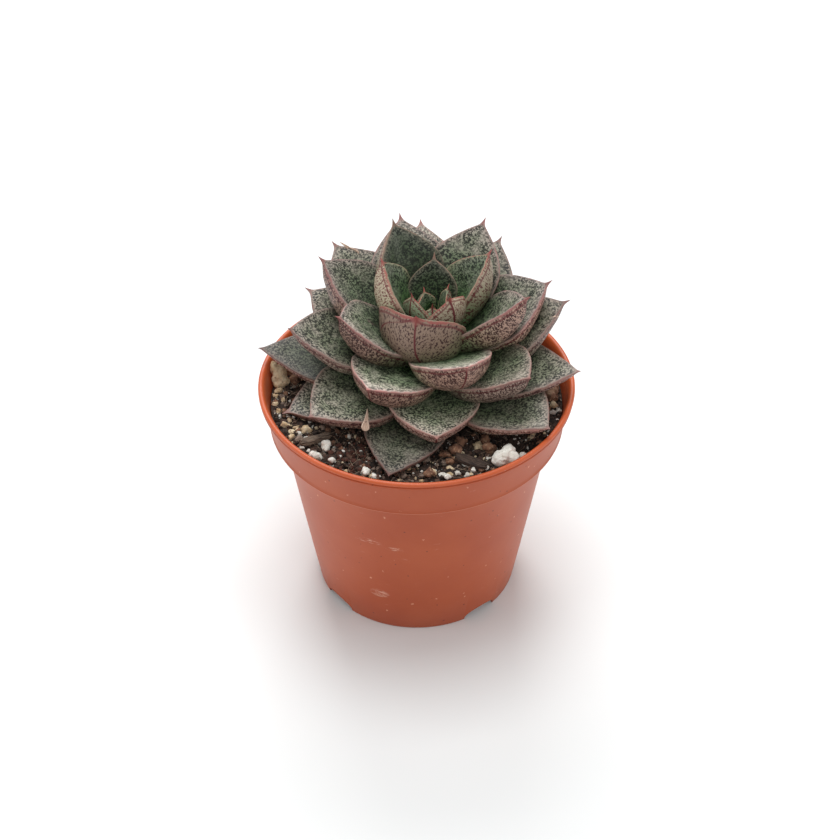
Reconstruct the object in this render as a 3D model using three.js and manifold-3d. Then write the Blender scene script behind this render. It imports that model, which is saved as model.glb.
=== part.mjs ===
// A rosette succulent growing in a small round nursery pot.
// Millimetres, +Z up. The origin lies on the table, under the middle of the whole plant and pot.
// The plant is modelled about the pot's axis first, and the whole is then moved by potAxis.

import * as THREE from 'three';
import { mergeVertices } from 'three/addons/utils/BufferGeometryUtils.js';
import Module from 'manifold-3d';

const wasm = await Module();
wasm.setup();

// ---------------------------------------------------------------- driving dimensions

const potAxis = new THREE.Vector3(-0.4, -4.1, 0);

const clearance = 0.3;            // gap kept between two pieces that touch

const potHeight = 66.5;
const lipRadius = 42.5;           // the widest part of the rolled lip
const lipHeight = 1.8;
const lipThickness = 1.5;
const collarTopRadius = 41.2;     // the collar tapers down to the shoulder
const collarFootRadius = 39.7;
const collarHeight = 11.6;
const shoulderHeight = 1.2;
const bodyTopRadius = 36.8;
const footRadius = 28.2;
const wallThickness = 0.8;
const edgeRound = 0.4;            // rounding of the lip and of the shoulder
const floorUnderside = 3.2;       // the floor is raised, so water runs out through the notches
const floorThickness = 1.2;
const drainRadius = 4;
const potFacets = 40;

const notchWidth = 10.4;
const notchHeight = 3;
const notchSpring = 0.8;          // height at which the notch's arch starts
const notchHeadings = [39, 129, 219, 309];
const floorHoleRadius = 2.6;
const floorHoleCircle = 19;

const soilDepth = 6.2;            // from the lip's top down to the soil at the wall
const soilDip = 1.2;              // the soil is a little lower round the stem

// The rosette has a frame of its own: its foot is where the oldest leaf grows, and it leans forwards.
const rosetteFoot = new THREE.Vector3(3.5, 8.8, potHeight - 0.8);
const forwardLean = THREE.MathUtils.degToRad(6);
const sidewaysLean = THREE.MathUtils.degToRad(1);
const stemHeight = 12.8;          // from the oldest leaf up to the youngest
const rootDepth = 12;             // stem below the oldest leaf, down in the soil
const stemTip = 0.5;              // height of the stem's blunt tip
const stemTopRadius = 0.5;
const stemFootRadius = 4;
const leafSeat = 0.5;             // from the stem's skin out to the point where a leaf starts
const stemFacets = 10;

// The leaves follow a golden-angle spiral: leaf 0 is the youngest, in the heart.
const goldenAngle = 137.5;
const firstHeading = 279;         // degrees, from +X towards +Y
const matureLeaf = 32;            // from this leaf outwards the leaves are full grown
const leafNumbers = [...Array(34).keys(), 40];
const heartLeaves = 8;            // the youngest, which are greener

// Each pair of ends and middle describes the leaves from the heart to the oldest.
const leanByAge = { young: 84, middle: 28, old: 6 };      // degrees above level
const lengthByAge = { young: 11.5, middle: 36.5, old: 38.5 };
const widthByAge = { young: 7.5, middle: 23.8, old: 21.5 };

const curl = THREE.MathUtils.degToRad(20);  // how far a leaf bends up between base and tip
const widestAt = 0.58;                      // fraction of the length
const baseWidth = 0.62;                     // the base's share of the full width
const shoulderPower = 1.75;                 // how full the leaf stays before its point
const troughDepth = 0.07;                   // hollow of the upper face, per width
const keelDepth = 0.235;                    // thickness below the margins, per width
const keelPower = 3.2;                      // 1 is a sharp V below, more is rounder
const keelFullness = 0.7;                   // how thick the leaf stays towards its ends, 1 is thinnest
const spineLength = 0.9;
const edgeGrowth = 4;             // a cutter's thin edge grows this much more than its faces
const leafRings = 10;
const leafSides = 8;

// No rosette is regular: how far a leaf departs from the spiral, in degrees and millimetres.
const departures = {
  0: { turn: -1, lean: -1, shorter: 1 },
  1: { lean: 4, shorter: 0.5 },
  2: { lean: 3, longer: 0.5 },
  3: { turn: -1, longer: 1.5 },
  4: { turn: -3, lean: -2, longer: 1 },
  5: { turn: -2, lean: 9, shorter: 2.5 },
  6: { turn: -4, lean: 5, longer: 3.5, wider: 1 },
  7: { turn: -2, lean: -5, longer: 2, wider: 1 },
  8: { turn: -7, lean: 7, shorter: 5, wider: 4 },
  9: { turn: -3, lean: 3, longer: 3.5, wider: 2 },
  10: { turn: -2, lean: -2, longer: 3.5 },
  11: { turn: -3, lean: -6, shorter: 0.5, wider: 2 },
  12: { turn: -8, lean: -2, longer: 2.5 },
  13: { turn: -5, lean: -2, longer: 2, wider: -1 },
  14: { turn: 4, longer: 1 },
  15: { turn: -3, lean: -2, shorter: 1, wider: 1 },
  16: { turn: 1, lean: -8, shorter: 3.5 },
  17: { turn: 2, longer: 0.5, wider: -1 },
  18: { turn: -9, lean: -1, shorter: 1.5, wider: -1 },
  19: { turn: 5, wider: -1 },
  20: { turn: 9, lean: 2, shorter: 2.5, wider: -1 },
  21: { turn: 1, lean: -11, shorter: 5, wider: -1 },
  22: { turn: -2, lean: 3, shorter: 0.5 },
  23: { turn: 11, lean: 10, shorter: 3 },
  24: { turn: 3, lean: -7, shorter: 0.5 },
  25: { turn: 12, lean: 4, longer: 1 },
  26: { turn: 9, lean: -2, longer: 2 },
  27: { turn: -12, lean: 7, shorter: 5 },
  28: { turn: 6, lean: -1, shorter: 7 },
  29: { turn: 5, lean: -6, longer: 2.5, wider: -1 },
  31: { turn: 2, lean: 11, longer: 0.5 },
  32: { turn: 7, lean: -8, longer: 0.5 },
  33: { lean: 5, shorter: 2 },
  40: { turn: 2, lean: 1, longer: 3.5, wider: 1 },
};

// Loose stones and bark on the soil, placed from the pot's axis: [x, y, half width, half height].
const stones = {
  pumice_left: [-36.7, 6.2, 2.4, 2.6],
  pumice_front: [3.2, -32.6, 1.7, 1.2],
  pumice_right: [35.6, 0.6, 2.4, 1.8],
  pumice_edge: [36.8, -4.7, 1.4, 1.1],
  rock_middle: [10.0, -23.6, 1.9, 1.5],
  rock_right: [18.6, -22.0, 1.7, 1.3],
  perlite_large: [23.4, -25.2, 3.0, 2.4],
  perlite_right: [27.6, -25.4, 1.4, 1.1],
  perlite_left: [-33.6, 2.6, 1.3, 1.0],
  perlite_left_low: [-33.1, -15.8, 1.3, 1.0],
  perlite_front_1: [-23.6, -22.1, 1.2, 0.9],
  perlite_front_2: [-26.3, -24.9, 1.3, 0.9],
  perlite_front_3: [-21.9, -27.0, 1.2, 0.9],
  perlite_front_4: [-13.1, -31.6, 1.2, 0.9],
  perlite_front_5: [8.0, -33.4, 1.2, 0.9],
};
// Bark chips: [x, y, length, width, height, heading].
const barkChips = {
  bark_left: [-26.6, -18.4, 8.0, 2.6, 1.6, 25],
  bark_right: [14.2, -27.6, 7.4, 2.4, 1.6, -24],
};
const stoneRoughness = 0.16;
const smallStone = 1.6;           // half width up to which a stone is a plain lump

// ---------------------------------------------------------------- materials

function finish(color, roughness) {
  return new THREE.MeshStandardMaterial({ color, roughness, metalness: 0 });
}

const potPlastic = finish('#a65642', 0.45);
const darkSoil = finish('#2e2724', 0.95);
const stemSkin = finish('#7a8a5c', 0.7);
const outerLeafSkin = finish('#5d6a5c', 0.55);
const innerLeafSkin = finish('#4c6b4a', 0.5);
const whiteStone = finish('#dcd9d0', 0.9);
const creamStone = finish('#c9b48f', 0.9);
const brownStone = finish('#8a6048', 0.9);
const barkWood = finish('#4a3a30', 0.9);

// ---------------------------------------------------------------- helpers

const up = new THREE.Vector3(0, 0, 1);

function namedMesh(name, geometry, material) {
  const mesh = new THREE.Mesh(geometry, material);
  mesh.name = name;
  return mesh;
}

function solidFrom(geometry) {
  const bare = geometry.clone();
  bare.deleteAttribute('normal');
  bare.deleteAttribute('uv');
  const closed = mergeVertices(bare, 1e-4);
  return new wasm.Manifold(new wasm.Mesh({
    numProp: 3,
    vertProperties: new Float32Array(closed.attributes.position.array),
    triVerts: new Uint32Array(closed.index.array),
  }));
}

function geometryFrom(solid) {
  const mesh = solid.getMesh();
  const geometry = new THREE.BufferGeometry();
  geometry.setAttribute('position', new THREE.BufferAttribute(mesh.vertProperties, mesh.numProp));
  geometry.setIndex(new THREE.BufferAttribute(mesh.triVerts, 1));
  geometry.computeVertexNormals();
  return geometry;
}

function largestPiece(solid) {
  const pieces = solid.decompose();
  return pieces.reduce((best, piece) => (piece.volume() > best.volume() ? piece : best));
}

function boxesMeet(a, b) {
  const first = a.boundingBox();
  const second = b.boundingBox();
  return [0, 1, 2].every((i) => first.min[i] <= second.max[i] && second.min[i] <= first.max[i]);
}

function cutAway(solid, cutters) {
  return cutters.reduce((left, cutter) => (boxesMeet(left, cutter) ? left.subtract(cutter) : left), solid);
}

// A round body about the Z axis, from a profile of [radius, height] pairs.
function turned(profile, facets) {
  const points = profile.map(([radius, height]) => new THREE.Vector2(radius, height));
  return new THREE.LatheGeometry(points, facets).rotateX(Math.PI / 2);
}

// The quadratic through the young, middle and old values, for an age from 0 to 1.
function grown(values, age) {
  return values.young * (1 - age) * (1 - 2 * age)
    + values.middle * 4 * age * (1 - age)
    + values.old * age * (2 * age - 1);
}

// ---------------------------------------------------------------- pot

const shoulderTop = potHeight - collarHeight;
const shoulderFoot = shoulderTop - shoulderHeight;
const innerShoulderTop = shoulderTop + wallThickness / 2;
const innerShoulderFoot = shoulderFoot + wallThickness / 2;

function bodyRadius(height) {
  return THREE.MathUtils.mapLinear(height, 0, shoulderFoot, footRadius, bodyTopRadius);
}

function innerRadius(height) {
  const collar = THREE.MathUtils.mapLinear(height, shoulderTop, potHeight, collarFootRadius, collarTopRadius);
  return (height >= shoulderTop ? collar : bodyRadius(height)) - wallThickness;
}

function potProfile() {
  const floorTop = floorUnderside + floorThickness;
  const lipFoot = potHeight - lipHeight;
  return [
    [drainRadius, floorUnderside],
    [bodyRadius(floorUnderside) - wallThickness, floorUnderside],
    [footRadius - wallThickness, 0],
    [footRadius, 0],
    [bodyTopRadius, shoulderFoot],
    [collarFootRadius - edgeRound, shoulderFoot + edgeRound / 2],
    [collarFootRadius, shoulderTop],
    [collarTopRadius, lipFoot],
    [lipRadius - edgeRound / 2, lipFoot + edgeRound / 2],
    [lipRadius, potHeight - lipHeight / 2],
    [lipRadius - edgeRound, potHeight - edgeRound / 2],
    [lipRadius - lipThickness / 2, potHeight],
    [lipRadius - lipThickness, potHeight - edgeRound],
    [collarTopRadius - wallThickness, lipFoot],
    [collarFootRadius - wallThickness, innerShoulderTop],
    [bodyTopRadius - wallThickness, innerShoulderFoot],
    [bodyRadius(floorTop) - wallThickness, floorTop],
    [drainRadius, floorTop],
    [drainRadius, floorUnderside],
  ];
}

// An arched cutter, pushed outwards through the foot at one heading.
function notchCutter(heading) {
  const outline = new THREE.Shape();
  outline.moveTo(-notchWidth / 2, -1);
  outline.lineTo(notchWidth / 2, -1);
  outline.lineTo(notchWidth / 2, notchSpring);
  outline.absellipse(0, notchSpring, notchWidth / 2, notchHeight - notchSpring, 0, Math.PI, false);
  const reach = 8;
  const cutter = new THREE.ExtrudeGeometry(outline, { depth: reach, bevelEnabled: false, curveSegments: 6 });
  cutter.rotateX(Math.PI / 2);
  cutter.translate(0, footRadius + reach / 2, 0);
  cutter.rotateZ(THREE.MathUtils.degToRad(heading - 90));
  return solidFrom(cutter);
}

function floorHoleCutter(heading) {
  const cutter = new THREE.CylinderGeometry(floorHoleRadius, floorHoleRadius, 4 * floorThickness, 12);
  cutter.rotateX(Math.PI / 2);
  cutter.translate(floorHoleCircle, 0, floorUnderside + floorThickness / 2);
  cutter.rotateZ(THREE.MathUtils.degToRad(heading));
  return solidFrom(cutter);
}

function potSolid() {
  const cutters = notchHeadings.flatMap((heading) => [notchCutter(heading), floorHoleCutter(heading)]);
  return cutAway(solidFrom(turned(potProfile(), potFacets)), cutters);
}

// ---------------------------------------------------------------- stem

function stemGeometry(grow) {
  return turned([
    [0, -rootDepth - grow],
    [stemFootRadius + grow, -rootDepth - grow],
    [stemFootRadius + grow, 0],
    [stemTopRadius + grow, stemHeight - 2 * stemTip],
    [0, stemHeight - stemTip + grow],
  ], stemFacets);
}

// ---------------------------------------------------------------- leaves

function leafPlan(number) {
  const departure = departures[number] ?? {};
  const { turn = 0, lean = 0, longer = 0, shorter = 0, wider = 0 } = departure;
  const age = Math.min(number, matureLeaf) / matureLeaf;
  const heading = THREE.MathUtils.degToRad(firstHeading - goldenAngle * number + turn);
  const rise = THREE.MathUtils.degToRad(grown(leanByAge, age) + lean);
  const outwards = new THREE.Vector3(Math.cos(heading), Math.sin(heading), 0);
  const seat = THREE.MathUtils.lerp(stemTopRadius, stemFootRadius, age) + leafSeat;
  return {
    length: grown(lengthByAge, age) + longer - shorter,
    width: grown(widthByAge, age) + wider,
    base: outwards.clone().multiplyScalar(seat).addScaledVector(up, stemHeight * (1 - age)),
    forwards: outwards.clone().multiplyScalar(Math.cos(rise)).addScaledVector(up, Math.sin(rise)),
    upwards: up.clone().multiplyScalar(Math.cos(rise)).addScaledVector(outwards, -Math.sin(rise)),
    sideways: new THREE.Vector3(Math.sin(heading), -Math.cos(heading), 0),
  };
}

// Half width at a fraction of the length, as a share of the full half width.
function widthShare(along) {
  if (along < widestAt) return baseWidth + (1 - baseWidth) * Math.sin((Math.PI / 2) * (along / widestAt));
  return 1 - ((along - widestAt) / (1 - widestAt)) ** shoulderPower;
}

// One point of a leaf's skin; around runs from one margin over the upper face and back below.
// At the base and the tip the skin closes in one point, half way down the leaf's thickness.
function leafPoint(plan, along, around, grow) {
  const atEnd = along === 0 || along === 1;
  const across = atEnd ? 0 : Math.cos(around);
  const side = atEnd ? 0 : THREE.MathUtils.clamp(2 * Math.sin(around), -1, 1);
  const below = atEnd ? 0.5 : Number(side < 0);
  const share = widthShare(along);
  const reach = across * share * plan.width / 2 + edgeGrowth * grow * across ** 5;
  const hollow = troughDepth * 4 * reach ** 2 / plan.width;
  const keel = keelDepth * plan.width * share ** keelFullness * (1 - Math.abs(across) ** keelPower);
  const sag = (plan.length * curl / 8) * 4 * along * (1 - along);
  const spine = along === 1 ? spineLength : 0;
  const ends = grow * (2 * along - 1);
  return plan.base.clone()
    .addScaledVector(plan.forwards, along * (plan.length - spineLength) + spine + ends)
    .addScaledVector(plan.sideways, reach)
    .addScaledVector(plan.upwards, hollow - sag - below * keel + side * grow);
}

function leafGeometry(plan, grow) {
  const skin = new THREE.SphereGeometry(1, leafSides, leafRings);
  const { position, uv } = skin.attributes;
  for (let i = 0; i < position.count; i += 1) {
    const along = (1 - Math.cos(Math.PI * (1 - uv.getY(i)))) / 2;
    const point = leafPoint(plan, along, 2 * Math.PI * uv.getX(i), grow);
    position.setXYZ(i, point.x, point.y, point.z);
  }
  return skin;
}

// ---------------------------------------------------------------- soil and what lies on it

const soilTop = potHeight - soilDepth;

function soilSolid(cutters) {
  const soilFoot = floorUnderside + floorThickness + clearance;
  const soil = turned([
    [0, soilFoot],
    [innerRadius(soilFoot) - clearance, soilFoot],
    [bodyTopRadius - wallThickness - clearance, innerShoulderFoot + clearance],
    [collarFootRadius - wallThickness - clearance, innerShoulderTop + clearance],
    [innerRadius(soilTop) - clearance, soilTop],
    [0, soilTop - soilDip],
  ], potFacets);
  return largestPiece(cutAway(solidFrom(soil), cutters));
}

// Two crossing waves, shifted by the stone's index, make each stone lumpy in its own way.
function stoneMesh(name, [x, y, halfWidth, halfHeight], material, index) {
  const stone = new THREE.IcosahedronGeometry(1, halfWidth > smallStone ? 1 : 0);
  const { position } = stone.attributes;
  const point = new THREE.Vector3();
  for (let i = 0; i < position.count; i += 1) {
    point.fromBufferAttribute(position, i);
    const lump = 1 + stoneRoughness * Math.sin(5 * point.x + 3 * index) * Math.cos(4 * point.y - 2 * point.z + index);
    point.multiplyScalar(lump);
    position.setXYZ(i, point.x * halfWidth, point.y * halfWidth, point.z * halfHeight);
  }
  const solid = solidFrom(stone);
  const mesh = namedMesh(name, geometryFrom(solid), material);
  mesh.position.set(x, y, soilTop + clearance - solid.boundingBox().min[2]);
  return mesh;
}

// A bark chip is an irregular five-sided splinter, lying flat.
function barkMesh(name, [x, y, length, width, height, heading]) {
  const outline = new THREE.Shape();
  outline.moveTo(-length / 2, -width * 0.3);
  outline.lineTo(length * 0.35, -width / 2);
  outline.lineTo(length / 2, width * 0.1);
  outline.lineTo(length * 0.2, width / 2);
  outline.lineTo(-length * 0.4, width * 0.4);
  const mesh = namedMesh(name, new THREE.ExtrudeGeometry(outline, { depth: height, bevelEnabled: false }), barkWood);
  mesh.rotation.z = THREE.MathUtils.degToRad(heading);
  mesh.position.set(x, y, soilTop + clearance);
  return mesh;
}

function stoneMaterial(name) {
  if (name.startsWith('perlite')) return whiteStone;
  return name.startsWith('pumice') ? creamStone : brownStone;
}

// ---------------------------------------------------------------- assembly

const plant = new THREE.Group();
plant.position.copy(potAxis);

plant.add(namedMesh('pot', geometryFrom(potSolid()), potPlastic));

// Each leaf is pressed against the younger leaves above it, and keeps their shape in its own base.
const rosette = new THREE.Group();
rosette.position.copy(rosetteFoot);
rosette.rotation.set(forwardLean, sidewaysLean, 0);
rosette.updateMatrix();
plant.add(rosette);

const pressedOn = [solidFrom(stemGeometry(clearance))];
const soilCutters = [solidFrom(stemGeometry(clearance).applyMatrix4(rosette.matrix))];
leafNumbers.forEach((number, order) => {
  const plan = leafPlan(number);
  const leaf = largestPiece(cutAway(solidFrom(leafGeometry(plan, 0)), pressedOn));
  const name = `leaf_${String(order + 1).padStart(2, '0')}`;
  rosette.add(namedMesh(name, geometryFrom(leaf), order < heartLeaves ? innerLeafSkin : outerLeafSkin));
  pressedOn.push(solidFrom(leafGeometry(plan, clearance)));
  soilCutters.push(solidFrom(leafGeometry(plan, clearance).applyMatrix4(rosette.matrix)));
});

rosette.add(namedMesh('stem', geometryFrom(solidFrom(stemGeometry(0))), stemSkin));
plant.add(namedMesh('soil', geometryFrom(soilSolid(soilCutters)), darkSoil));

Object.entries(stones).forEach(([name, size], index) => {
  plant.add(stoneMesh(name, size, stoneMaterial(name), index));
});
Object.entries(barkChips).forEach(([name, size]) => {
  plant.add(barkMesh(name, size));
});

const group = new THREE.Group();
group.add(plant);

export default group;
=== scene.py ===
import math
import random

import bpy
import numpy as np
from mathutils import Matrix, Vector, noise


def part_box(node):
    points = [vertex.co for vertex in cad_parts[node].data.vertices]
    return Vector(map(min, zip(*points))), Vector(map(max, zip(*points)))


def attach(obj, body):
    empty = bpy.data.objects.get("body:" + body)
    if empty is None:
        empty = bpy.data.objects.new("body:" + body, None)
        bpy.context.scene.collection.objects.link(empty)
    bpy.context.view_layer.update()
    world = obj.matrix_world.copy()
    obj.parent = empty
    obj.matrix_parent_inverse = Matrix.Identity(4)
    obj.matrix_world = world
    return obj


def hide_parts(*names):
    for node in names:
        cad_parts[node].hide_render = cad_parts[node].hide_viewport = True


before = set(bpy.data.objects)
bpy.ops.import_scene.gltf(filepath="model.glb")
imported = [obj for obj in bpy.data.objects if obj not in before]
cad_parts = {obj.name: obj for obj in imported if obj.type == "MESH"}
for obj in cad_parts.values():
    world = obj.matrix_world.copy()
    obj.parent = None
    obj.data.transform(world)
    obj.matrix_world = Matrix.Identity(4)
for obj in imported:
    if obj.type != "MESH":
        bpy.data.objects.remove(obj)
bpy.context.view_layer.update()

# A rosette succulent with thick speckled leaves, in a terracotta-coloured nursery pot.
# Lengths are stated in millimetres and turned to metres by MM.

MM = 0.001

# ---------- sizes, as the part has them

POT_AXIS = Vector((-0.4, -4.1, 0))
POT_HEIGHT = 66.5
LIP_RADIUS = 42.5
COLLAR_TOP_RADIUS = 41.2
COLLAR_FOOT_RADIUS = 39.7
COLLAR_HEIGHT = 11.6
SHOULDER_HEIGHT = 1.2
BODY_TOP_RADIUS = 36.8
FOOT_RADIUS = 28.2
WALL = 0.8
FLOOR_UNDERSIDE = 3.2
FLOOR_THICKNESS = 1.2
DRAIN_RADIUS = 4
NOTCH_WIDTH = 10.4
NOTCH_HEIGHT = 3
NOTCH_SPRING = 0.8
NOTCH_HEADINGS = (39, 129, 219, 309)
FLOOR_HOLE_RADIUS = 2.6
FLOOR_HOLE_CIRCLE = 19

SOIL_DEPTH = 6.2
SOIL_TOP = POT_HEIGHT - SOIL_DEPTH
SOIL_DIP = 1.2
SOIL_RADIUS = 39
# The mix fills the pot: radius and height up its side, then rings of small steps across its top.
SOIL_SIDE = ((27.9, 4.8), (35.65, 54.4), (38.6, 55.6), (39.35, SOIL_TOP))
SOIL_RINGS = 62
SOIL_RING_STEP = 0.6
CRUMB_HEIGHT = 1.1

ROSETTE_FOOT = Vector((3.5, 8.8, POT_HEIGHT - 0.8))
FORWARD_LEAN = math.radians(6)
SIDEWAYS_LEAN = math.radians(1)
STEM_HEIGHT = 12.8
STEM_TOP_RADIUS = 0.5
STEM_FOOT_RADIUS = 4
LEAF_SEAT = 0.5

GOLDEN_ANGLE = 137.5
FIRST_HEADING = 279
MATURE_LEAF = 32
LEAF_NUMBERS = [*range(34), 40]

LEAN_BY_AGE = (84, 28, 6)
LENGTH_BY_AGE = (11.5, 36.5, 38.5)
WIDTH_BY_AGE = (7.5, 23.8, 21.5)
CURL = math.radians(20)
WIDEST_AT = 0.58
BASE_WIDTH = 0.62
SHOULDER_POWER = 1.75
TROUGH_DEPTH = 0.07
KEEL_DEPTH = 0.28
KEEL_FULLNESS = 0.7
SPINE_LENGTH = 1.6
# The leaf width that the lines along a margin are stated for. On a narrower leaf they are finer.
STATED_WIDTH = 22
# The distance from a second keel line on the leaves that have none.
NO_VEIN = 9.0
# How far apart two leaves in a row are in the patterns, so that each has its own.
PATTERN_STEP = 13.0
# The leaf in front of the heart, which is fuller than the rest and rolls its margins up.
FRONT_LEAF = 8
# A leaf's shape: width factor, shoulder power on the left and right, keel factor. Some leaves differ.
USUAL_SHAPE = (1, SHOULDER_POWER, SHOULDER_POWER, 1)
SHAPES = {
    0: (1, 1.5, 1.5, 0.7), 1: (0.9, 1.5, 1.5, 0.65), 2: (0.85, 1.3, 1.5, 0.65), 3: (0.93, 1.1, 1.4, 0.6),
    4: (1, 1.75, 1.75, 0.75), 5: (1, 1.4, 3.2, 0.8), 6: (1, 1.75, 1.75, 1.1), 8: (1.09, 2.8, 3.0, 1.2),
    19: (1, 1.75, 1.75, 0.75), 23: (1, 1.4, 1.4, 0.9), 24: (1, 1.75, 1.75, 0.85), 26: (1, 1.75, 1.75, 0.7),
    29: (1, 1.6, 1.6, 0.75), 31: (1, 1.35, 1.35, 0.7), 40: (1, 1.35, 1.35, 0.7),
}
# Halves of a leaf that fold upwards, in degrees: left and right, seen from outside the rosette.
FOLDS = {6: (0, 14), 7: (38, 0), 9: (0, 22), 10: (18, 0), 14: (0, 16)}
# The spine at the point, as a share of its usual length, and the leaves on which it is short.
SPINE = 1.2
SHORT_SPINE = 0.55
BLUNT = (13, 16, 18, 19, 21, 24, 26, 29, 31, 40)

# How far a leaf departs from the spiral: turn, lean (degrees), longer, wider (millimetres).
DEPARTURES = {
    0: (-1, -1, -1, 0), 1: (0, 4, -0.5, 0), 2: (0, 3, 0.5, 0), 3: (-1, 0, 1.5, 0),
    4: (-3, -2, 1, 0), 5: (-2, 9, -2.5, 0), 6: (-4, 5, 3.5, 1), 7: (-2, -5, 2, 1),
    8: (-7, 7, -5, 4), 9: (-3, 3, 3.5, 2), 10: (-2, -2, 3.5, 0), 11: (-3, -6, -0.5, 2),
    12: (-8, -2, 2.5, 0), 13: (-5, -2, 2, -1), 14: (4, 0, 1, 0), 15: (-3, -2, -1, 1),
    16: (1, -8, -3.5, 0), 17: (2, 0, 0.5, -1), 18: (-9, -1, -1.5, -1), 19: (5, 0, 0, -1),
    20: (9, 2, -2.5, -1), 21: (1, -11, -5, -1), 22: (-2, 3, -0.5, 0), 23: (11, 10, -3, 0),
    24: (3, -7, -0.5, 0), 25: (12, 4, 1, 0), 26: (9, -2, 2, 0), 27: (-12, 7, -5, 0),
    28: (6, -1, -7, 0), 29: (5, -6, 2.5, -1), 31: (2, 11, 1.5, 0), 32: (7, -8, 0.5, 0),
    33: (0, 5, -2, 0), 40: (2, 1, 4.5, 1),
}
# Which skin a leaf has: the first of these limits that its number is under.
SKIN_LIMITS = ((4, "young"), (FRONT_LEAF, "heart"), (FRONT_LEAF + 1, "front"), (18, "middle"), (41, "outer"))
TAN_MARGINED = (4, 9)
# How light all upper faces are, and which are lighter or darker still: partly their own tone, as their waxy
# bloom varies, and partly painted light and shade.
FACE_TONE = 1.06
TONES = {
    1: 2.5, 2: 2.7, 4: 0.8, 6: 1.2, 7: 1.2, 9: 0.57, 10: 0.9, 12: 0.95, 13: 1.5, 14: 0.82, 15: 0.83,
    16: 1.55, 17: 0.88, 18: 1.3, 19: 0.88, 20: 0.84, 21: 1.62, 23: 0.84, 24: 1.15, 25: 1.3, 26: 0.88,
    27: 1.1, 29: 0.62, 40: 0.55,
}
# Undersides that are lighter or darker than the rest: painted light and shade, mostly lightening undersides
# that lie deep in shade.
UNDER_TONES = {
    0: 1.5, 3: 1.3, 5: 1.15, 6: 1.4, 10: 1.15, 11: 0.8, 13: 1.1, 15: 1.6, 18: 1.1, 19: 1.1, 21: 1.9, 23: 1.2,
    24: 1.45, 26: 1.9, 31: 1.4, 40: 1.9,
}

# ---------- materials


def linear(hex_colour):
    """An sRGB hex colour as linear red, green, blue and alpha."""
    parts = [int(hex_colour[i:i + 2], 16) / 255 for i in (1, 3, 5)]
    return [p / 12.92 if p <= 0.04045 else ((p + 0.055) / 1.055) ** 2.4 for p in parts] + [1]


def add(tree, kind, inputs, output=0, **settings):
    """Adds a node with its settings and gives one of its outputs. An input is a value, or an output that is
    linked to it."""
    made = tree.nodes.new(f"ShaderNode{kind}")
    for name, value in settings.items():
        setattr(made, name, value)
    for name, value in inputs.items():
        if isinstance(value, bpy.types.NodeSocket):
            tree.links.new(value, made.inputs[name])
        else:
            made.inputs[name].default_value = value
    return made.outputs[output]


def new_material(name, roughness, ior=1.5):
    """A material with an empty Principled shader, and its node tree and shader."""
    material = bpy.data.materials.new(name)
    material.use_nodes = True
    tree = material.node_tree
    shader = tree.nodes["Principled BSDF"]
    shader.inputs["Roughness"].default_value = roughness
    shader.inputs["IOR"].default_value = ior
    return material, tree, shader


def coat(tree, shader, colour, height, strength, bump_mm):
    """Links a colour and an unevenness to the shader."""
    tree.links.new(colour, shader.inputs["Base Color"])
    bump = add(tree, "Bump", {"Height": height, "Strength": strength, "Distance": bump_mm * MM})
    tree.links.new(bump, shader.inputs["Normal"])


def place_in_mm(tree):
    """The place on the piece, in millimetres."""
    here = add(tree, "TexCoord", {}, "Object")
    return add(tree, "VectorMath", {0: here, "Scale": 1 / MM}, operation="SCALE")


def stretched_noise(tree, place, stretch, scale, detail, roughness):
    """A noise that is drawn out along the axes on which the stretch is small."""
    squeezed = add(tree, "VectorMath", {0: place, 1: stretch}, operation="MULTIPLY")
    return add(tree, "TexNoise", {"Vector": squeezed, "Scale": scale, "Detail": detail,
                                  "Roughness": roughness})


def gap(tree, value, middle):
    """How far a value is from the middle one."""
    less = add(tree, "Math", {0: value, 1: middle}, operation="SUBTRACT")
    return add(tree, "Math", {0: less}, operation="ABSOLUTE")


def worm_flecks(tree, place, scale, width, low, high, strength):
    """Short crooked strokes: the lines along which one noise crosses its middle value, broken by another."""
    crossing = add(tree, "TexNoise", {"Vector": place, "Scale": scale, "Detail": 1.5, "Roughness": 0.6,
                                      "Distortion": 0.6})
    strokes = add(tree, "MapRange", {"Value": gap(tree, crossing, 0.5), "From Min": width,
                                     "From Max": width * 0.65, "To Max": strength})
    gaps = add(tree, "TexNoise", {"Vector": place, "Scale": scale * 1.3, "Detail": 1.5, "Roughness": 0.6})
    broken = add(tree, "MapRange", {"Value": gaps, "From Min": low, "From Max": high})
    return add(tree, "Math", {0: strokes, 1: broken}, operation="MULTIPLY")


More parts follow.
